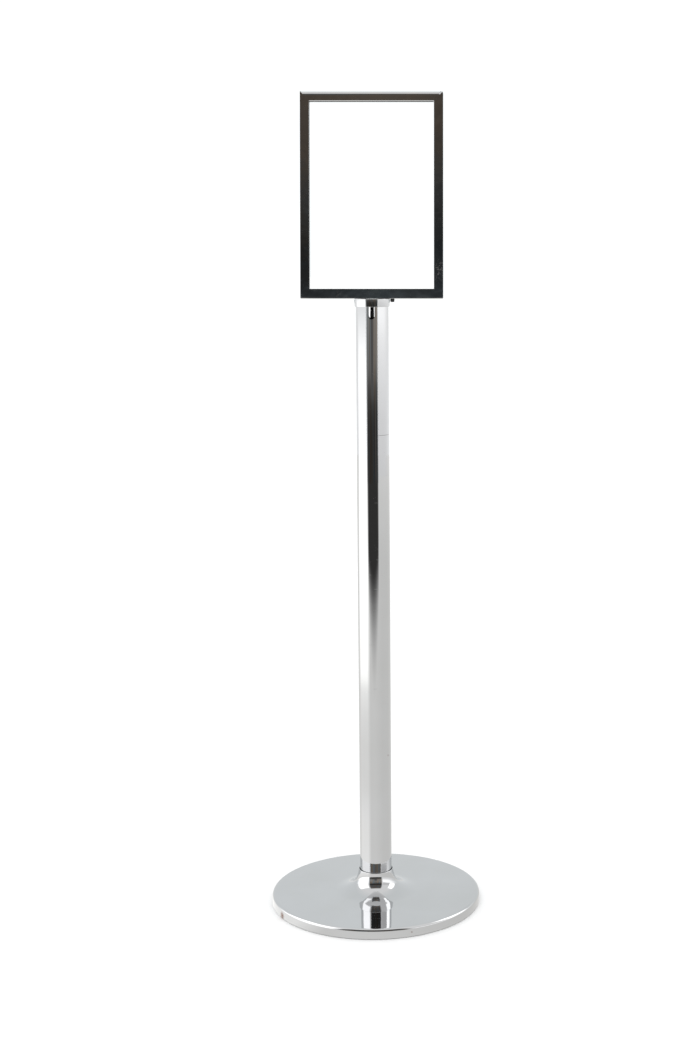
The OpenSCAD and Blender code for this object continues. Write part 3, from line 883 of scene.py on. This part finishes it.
def railProfile(outerRound):  # closed section as (depth from the front, distance from the outer edge)
    w, d, t = rail["width"], rail["depth"], rail["wall"]
    s0, s1 = (d - rail["slot"]) / 2, (d + rail["slot"]) / 2
    inner = max(0.5, outerRound - t)
    path = filletPath([(s0, w, 0.3), (0, w, rail["innerRound"]), (0, 0, outerRound),
                       (d, 0, 1.8), (d, w, 1.8), (s1, w, 0.3), (s1, w - t, 0.3), (d - t, w - t, 0.8),
                       (d - t, t, 0.8), (t, t, inner), (t, w - t, 1.0), (s0, w - t, 0.3)], 8, 0.3)
    full = []
    for i, (a, b) in enumerate(path):
        full.append((a, b))
        c, e = path[(i + 1) % len(path)]
        if abs(a) < 1e-6 and abs(c) < 1e-6 and b - e > 5:
            full += [(0, v) for v in (11, 8, 6.4, 5.4, 4.6, 3.8, 3, 2.2, 1.6) if e + 0.3 < v < b - 0.3]
    return full


def cornerDip(a, radius):  # how far the outline is drawn in at a distance a from the end of the frame
    if a >= radius:
        return 0.0
    return radius - math.sqrt(max(0.0, radius * radius - (radius - a) ** 2))


def buildRail(name, node, length, radii, place, outerRound, endRound, mouth=0, cutTop=False):
    offsets = [0, 0.15, 0.35, 0.6, 0.9, 1.3, 1.8, 2.4, 3.2, 4.2, 5.5, 7, 9, 12, 16, 22]
    steps = 12
    verts, faces = [], []
    halfLength = length / 2
    stations = [(-1, o) for o in offsets]
    reach = halfLength - rail["endLength"]
    span = [-reach + 2 * reach * k / steps for k in range(steps + 1)]
    if mouth:
        span = sorted(set(span) | {0.0})
    stations += [(0, x) for x in span] + [(1, o) for o in reversed(offsets)]
    for side, value in stations:
        blend = 1.0 if side == 0 else min(1.0, value / rail["blendLength"])
        blend = blend * blend * (3 - 2 * blend)
        profile = railProfile(endRound + (outerRound - endRound) * blend)
        count = len(profile)
        for d, v in profile:
            weight = max(0.0, 1 - v / rail["cornerReach"])
            if side == 0:
                x, vv = value, v
            else:
                radius = radii[0] if side < 0 else radii[1]
                a = v
                for _ in range(30):
                    a = v + cornerDip(a, radius) * weight
                a += value
                vv = v + cornerDip(a, radius) * weight
                x = side * (halfLength - a)
            verts.append((x, d, vv))
    for i in range(len(stations) - 1):
        for j in range(count):
            k = (j + 1) % count
            faces.append((i * count + j, i * count + k, (i + 1) * count + k, (i + 1) * count + j))
    last = (len(stations) - 1) * count
    faces.append(tuple(range(count)))
    faces.append(tuple(range(last, last + count)))
    obj = newObject(name, verts, faces, 40)
    if mouth:
        near, far = (rail["depth"] - rail["slot"]) / 2, (rail["depth"] + rail["slot"]) / 2
        outline = [(-mouth, near), (mouth, near), (mouth, far), (-mouth, far)]
        subtract(obj, [prism("mouthCutter", outline, -3, 6, 0)])
        smoothFaces(obj.data, 40)
    if cutTop:  # the rounding along the top of the frame cuts into a side rail's end
        for vertex in obj.data.vertices:
            vertex.co.y = max(vertex.co.y, cornerDip(halfLength - vertex.co.x, rail["topRound"]))
    transformMesh(obj, leaning @ place)
    return done(obj, frameChrome, "sign_frame", "chrome_plate", node)


def buildFrame():
    w, h = rail["frameWidth"], rail["frameHeight"]
    front = rail["back"] - rail["depth"]
    cr = rail["cornerRound"]
    er = rail["edgeRound"]
    low = Matrix.Translation((0, front, rail["low"]))
    buildRail("bottomRail", "bottom_rail", w, (cr["bl"], cr["br"]), low, rail["bottomRound"], er)
    flip = Matrix.Diagonal((1, 1, -1, 1))
    top = Matrix.Translation((0, front, rail["low"] + h)) @ flip
    tr = rail["topRound"]
    buildRail("topRail", "top_rail", w, (cr["tl"], cr["tr"]), top, tr, tr, rail["mouth"])
    middle = rail["low"] + h / 2
    # a side rail's own X runs up the frame, and its outer edge faces left or right
    left = Matrix(((0, 0, 1, -w / 2), (0, 1, 0, front), (1, 0, 0, middle), (0, 0, 0, 1)))
    right = Matrix(((0, 0, -1, w / 2), (0, 1, 0, front), (1, 0, 0, middle), (0, 0, 0, 1)))
    buildRail("leftRail", "left_rail", h, (cr["bl"], cr["tl"]), left, er, er, 0, True)
    buildRail("rightRail", "right_rail", h, (cr["br"], cr["tr"]), right, er, er, 0, True)
    for name in ("topRail", "leftRail"):
        bm = bmesh.new()
        mesh = bpy.data.objects[name].data
        bm.from_mesh(mesh)
        bmesh.ops.recalc_face_normals(bm, faces=bm.faces)
        bm.to_mesh(mesh)
        bm.free()


buildFrame()
print("sign frame built")


studio = {
    "floorTone": (0.93, 0.93, 0.93), "floorOther": (0.9, 0.9, 0.9), "floorSize": 60.0,
    "world": 1.0, "behind": 0.88, "seen": 1.06,
    "leftFloor": ((0.0, 1.2), (0.03, 1.2), (0.1, 1.06), (0.2, 1.25), (0.28, 1.9), (1.0, 1.9)),
    "lamp": 0.75, "lampAngle": 70, "lampLean": 12,
}
darkLevels = (  # brightness up the dark side of the room, which is a little lighter in its upper part
    (0.0, 0.05), (0.023, 0.05), (0.041, 0.12), (0.06, 0.27), (0.092, 0.3), (0.175, 0.2), (0.198, 0.12),
    (0.22, 0.035), (0.248, 0.045), (0.276, 0.08), (0.33, 0.12), (0.45, 0.12), (0.6, 0.14), (0.8, 0.2),
    (0.92, 0.5), (1.0, 0.9))
rightLevels = ((0.0, 0.93), (0.12, 1.0), (0.2, 1.1), (0.3, 1.3), (0.42, 1.6), (1.0, 1.6))
white = (1, 1, 1)
# bent cards: distance, (from, to) in degrees, (low, high), colour, strength, soft edges, levels, mottling
cards = [
    ("darkRoom", 5.0, (-43, 43), (0.0, 10.0), (1.0, 0.98, 0.96), 0.03, (0.12, 0.12, 0.0, 0.12),
     darkLevels, 0.35),
    ("darkCore", 4.9, (-13, 13), (0.33, 1.1), (1.0, 0.98, 0.96), 0.11, (0.35, 0.35, 0.2, 0.3)),
    ("thinPost", 4.8, (19, 23), (0.0, 0.6), (1.0, 0.97, 0.94), 0.13, (0.3, 0.3, 0.1, 0.3)),
    ("leftPanel", 2.2, (-128, -40), (0.0, 0.95), white, 1.9, (0.28, 0.07, 0.02, 0.3)),
    ("rightWall", 5.2, (40, 150), (0.0, 2.0), white, 1.0, (0.05, 0.6, 0.0, 0.3), rightLevels),
    ("upperLeft", 3.5, (-115, -41), (1.0, 5.2), white, 2.4, (0.14, 0.14, 0.12, 0.25)),
    ("upperRight", 3.5, (41, 92), (1.0, 2.4), white, 0.8, (0.14, 0.14, 0.12, 0.25)),
    ("sideRight", 3.5, (84, 124), (1.0, 5.2), white, 2.6, (0.14, 0.14, 0.12, 0.25)),
]


def emission(name, colour, strength):
    mat = bpy.data.materials.new(name)
    mat.use_nodes = True
    tree = mat.node_tree
    tree.nodes.clear()
    out = tree.nodes.new("ShaderNodeOutputMaterial")
    glow = tree.nodes.new("ShaderNodeEmission")
    glow.inputs["Color"].default_value = tuple(colour) + (1,)
    put(tree, glow.inputs["Strength"], strength)
    return mat, tree, out, glow


def onlyReflected(obj):  # shows in the chrome, but not to the camera, and neither lights nor shades anything
    obj.visible_camera = False
    obj.visible_diffuse = False
    obj.visible_shadow = False
    obj.visible_transmission = False
    obj.visible_volume_scatter = False


def makeCard(name, verts, columns, rows, faceUp):
    faces = []
    for i in range(columns):
        for k in range(rows):
            a = i * (rows + 1) + k
            corners = (a, a + rows + 1, a + rows + 2, a + 1)
            faces.append(corners[:1] + corners[:0:-1] if faceUp else corners)
    mesh = bpy.data.meshes.new(name)
    mesh.from_pydata(verts, [], faces)
    uv = mesh.uv_layers.new(name="spread")
    for loop in mesh.loops:
        v = loop.vertex_index
        uv.data[loop.index].uv = ((v // (rows + 1)) / columns, (v % (rows + 1)) / rows)
    obj = linkObject(name, mesh)
    onlyReflected(obj)
    return obj


def curvedCard(name, radius, fromDeg, toDeg, low, high):  # a card bent round the stand
    verts = []
    steps = 48
    rows = 24
    for i in range(steps + 1):
        a = math.radians(fromDeg + (toDeg - fromDeg) * i / steps)
        for k in range(rows + 1):
            z = low + (high - low) * k / rows
            verts.append((radius * math.sin(a), -radius * math.cos(a), z))
    return makeCard(name, verts, steps, rows, False)


def splitUv(tree):
    coords = tree.nodes.new("ShaderNodeTexCoord")
    split = tree.nodes.new("ShaderNodeSeparateXYZ")
    tree.links.new(coords.outputs["UV"], split.inputs[0])
    return coords, split.outputs[0], split.outputs[1]


def levelCurve(tree, value, levels):
    n = tree.nodes.new("ShaderNodeFloatCurve")
    curve = n.mapping.curves[0]
    n.mapping.clip_max_y = 4
    curve.points[0].location = levels[0]
    curve.points[1].location = levels[-1]
    for place, level in levels[1:-1]:
        curve.points.new(place, level)
    n.mapping.update()
    tree.links.new(value, n.inputs["Value"])
    return n.outputs["Value"]


# fades: how much of the card each soft edge takes, as (left, right, bottom, top)
# levels: (height, strength) pairs up the card
def softCardMaterial(name, colour, strength, fades, levels=None, mottle=0.0):
    mat, tree, out, glow = emission(name, colour, strength)
    coords, u, v = splitUv(tree)
    parts = []
    for value, size, flipped in zip((u, u, v, v), fades, (False, True, False, True)):
        if size > 0:
            n = tree.nodes.new("ShaderNodeMapRange")
            n.interpolation_type = "SMOOTHSTEP"
            tree.links.new(value, n.inputs["Value"])
            n.inputs["From Min"].default_value = 1 if flipped else 0
            n.inputs["From Max"].default_value = 1 - size if flipped else size
            parts.append(n.outputs["Result"])
    mask = parts[0]
    for part in parts[1:]:
        mask = times(tree, mask, part)
    level = strength
    if levels:
        level = levelCurve(tree, v, levels)
        put(tree, glow.inputs["Strength"], level)
    if mottle:
        patches = noise(tree, coords.outputs["Object"], 1.6, 4, 0.6, 0.5)
        warm = noise(tree, coords.outputs["Object"], 0.9, 2, 0.5)
        put(tree, glow.inputs["Strength"],
            times(tree, level, spread(tree, patches, 0.3, 0.7, 1 - mottle, 1 + mottle)))
        tint = blendColour(tree, spread(tree, warm, 0.4, 0.6), (1.0, 0.82, 0.66), (0.78, 0.92, 1.0))
        put(tree, glow.inputs["Color"], tint)
    clear = tree.nodes.new("ShaderNodeBsdfTransparent")
    mix = tree.nodes.new("ShaderNodeMixShader")
    tree.links.new(mask, mix.inputs[0])
    tree.links.new(clear.outputs[0], mix.inputs[1])
    tree.links.new(glow.outputs[0], mix.inputs[2])
    tree.links.new(mix.outputs[0], out.inputs[0])
    return mat


# a flat card on the floor, between two radii that spans() gives for each angle
def ringCard(name, spans, height, rings):
    start, end, steps, inner, outer = spans
    verts = []
    for i in range(steps + 1):
        a = math.radians(start + (end - start) * i / steps)
        near = inner(2 * i / steps - 1)
        for k in range(rings + 1):
            r = near + (outer - near) * k / rings
            verts.append((r * math.sin(a), -r * math.cos(a), height))
    return makeCard(name, verts, steps, rings, True)


# painted shade: a dim card, seen only in the chrome, stands for the floor in front where little light reaches
# it
def darkFloor():
    card = ringCard("darkFloor", (-42, 42, 32, lambda side: 1.2 + 1.3 * side * side, 5.0), 0.0012, 12)
    give(card, softCardMaterial("darkFloor", (1.0, 0.97, 0.94), 0.045, (0.12, 0.12, 0.45, 0.0)))


def reflectedFloor():  # the floor as the chrome sees it: brightest on the left, away from the stand
    card = ringCard("reflectedFloor", (-180, 180, 96, lambda side: 0.12, 6.0), 0.0004, 24)
    mat, tree, out, glow = emission("reflectedFloor", (1.0, 0.995, 0.975), 0.9)
    _, around, outward = splitUv(tree)
    ramp = levelCurve(tree, outward, studio["leftFloor"])
    towardLeft = times(tree, spread(tree, around, 0.42, 0.36), spread(tree, around, 0.12, 0.2))
    towardRight = spread(tree, around, 0.5, 0.66)
    other = minus(tree, 0.9, times(tree, towardRight, 0.07))
    gain = times(tree, minus(tree, ramp, other), towardLeft)
    level = plus(tree, other, gain)
    edge = spread(tree, outward, 0.5, 1.0)
    level = plus(tree, level, times(tree, edge, minus(tree, studio["world"], level)))
    put(tree, glow.inputs["Strength"], level)
    tree.links.new(glow.outputs[0], out.inputs[0])
    give(card, mat)


def buildWorld():
    world = bpy.data.worlds.new("studio")
    scene.world = world
    world.use_nodes = True
    tree = world.node_tree
    back = tree.nodes["Background"]
    back.inputs[0].default_value = (1, 1, 1, 1)
    coords = tree.nodes.new("ShaderNodeTexCoord")
    split = tree.nodes.new("ShaderNodeSeparateXYZ")
    tree.links.new(coords.outputs["Generated"], split.inputs[0])
    rear = spread(tree, split.outputs[1], 0.2, 0.55)  # the room is dimmer behind the stand
    dimming = times(tree, rear, studio["world"] - studio["behind"])
    level = minus(tree, studio["world"], dimming)
    path = tree.nodes.new("ShaderNodeLightPath")
    direct = times(tree, path.outputs["Is Camera Ray"], studio["seen"])
    put(tree, back.inputs[1], calc(tree, "MAXIMUM", direct, level))
    put(tree, back.inputs[0], blendColour(tree, rear, white, (0.965, 1.0, 1.01)))


def buildFloor():
    size = studio["floorSize"]
    mesh = bpy.data.meshes.new("floor")
    corners = [(-size, -size, 0), (size, -size, 0), (size, size, 0), (-size, size, 0)]
    mesh.from_pydata(corners, [], [(0, 1, 2, 3)])
    floor = linkObject("floor", mesh)
    mat, tree, shader, coords = startMaterial("floorPaper")
    tone = noise(tree, coords, 3, 2)
    put(tree, shader.inputs["Base Color"], blendColour(tree, tone, studio["floorTone"], studio["floorOther"]))
    shader.inputs["Roughness"].default_value = 0.9
    shader.inputs["Specular IOR Level"].default_value = 0.0
    give(floor, mat)


def buildCards():
    for name, radius, angles, levels, *finish in cards:
        give(curvedCard(name, radius, *angles, *levels), softCardMaterial(name, *finish))


def buildLamp():  # soft overhead light that lifts the floor to white
    light = bpy.data.lights.new("overhead", "SUN")
    light.energy = studio["lamp"]
    light.angle = math.radians(studio["lampAngle"])
    lamp = linkObject("overhead", light)
    lamp.matrix_world = turned(studio["lampLean"], "X")
    lamp.visible_glossy = False


view = {"lens": 58.7896, "sensor": 36, "place": (0.1146, -2.625, 1.042), "pitch": 9.11, "shift": -0.0959}


def buildCamera():
    data = bpy.data.cameras.new("camera")
    data.lens = view["lens"]
    data.sensor_width = view["sensor"]
    data.shift_x = view["shift"]
    scene.camera = linkObject("camera", data)
    scene.camera.matrix_world = Matrix.Translation(view["place"]) @ turned(90 - view["pitch"], "X")


buildWorld()
buildFloor()
reflectedFloor()
buildCards()
darkFloor()
buildLamp()
buildCamera()
print("studio built")
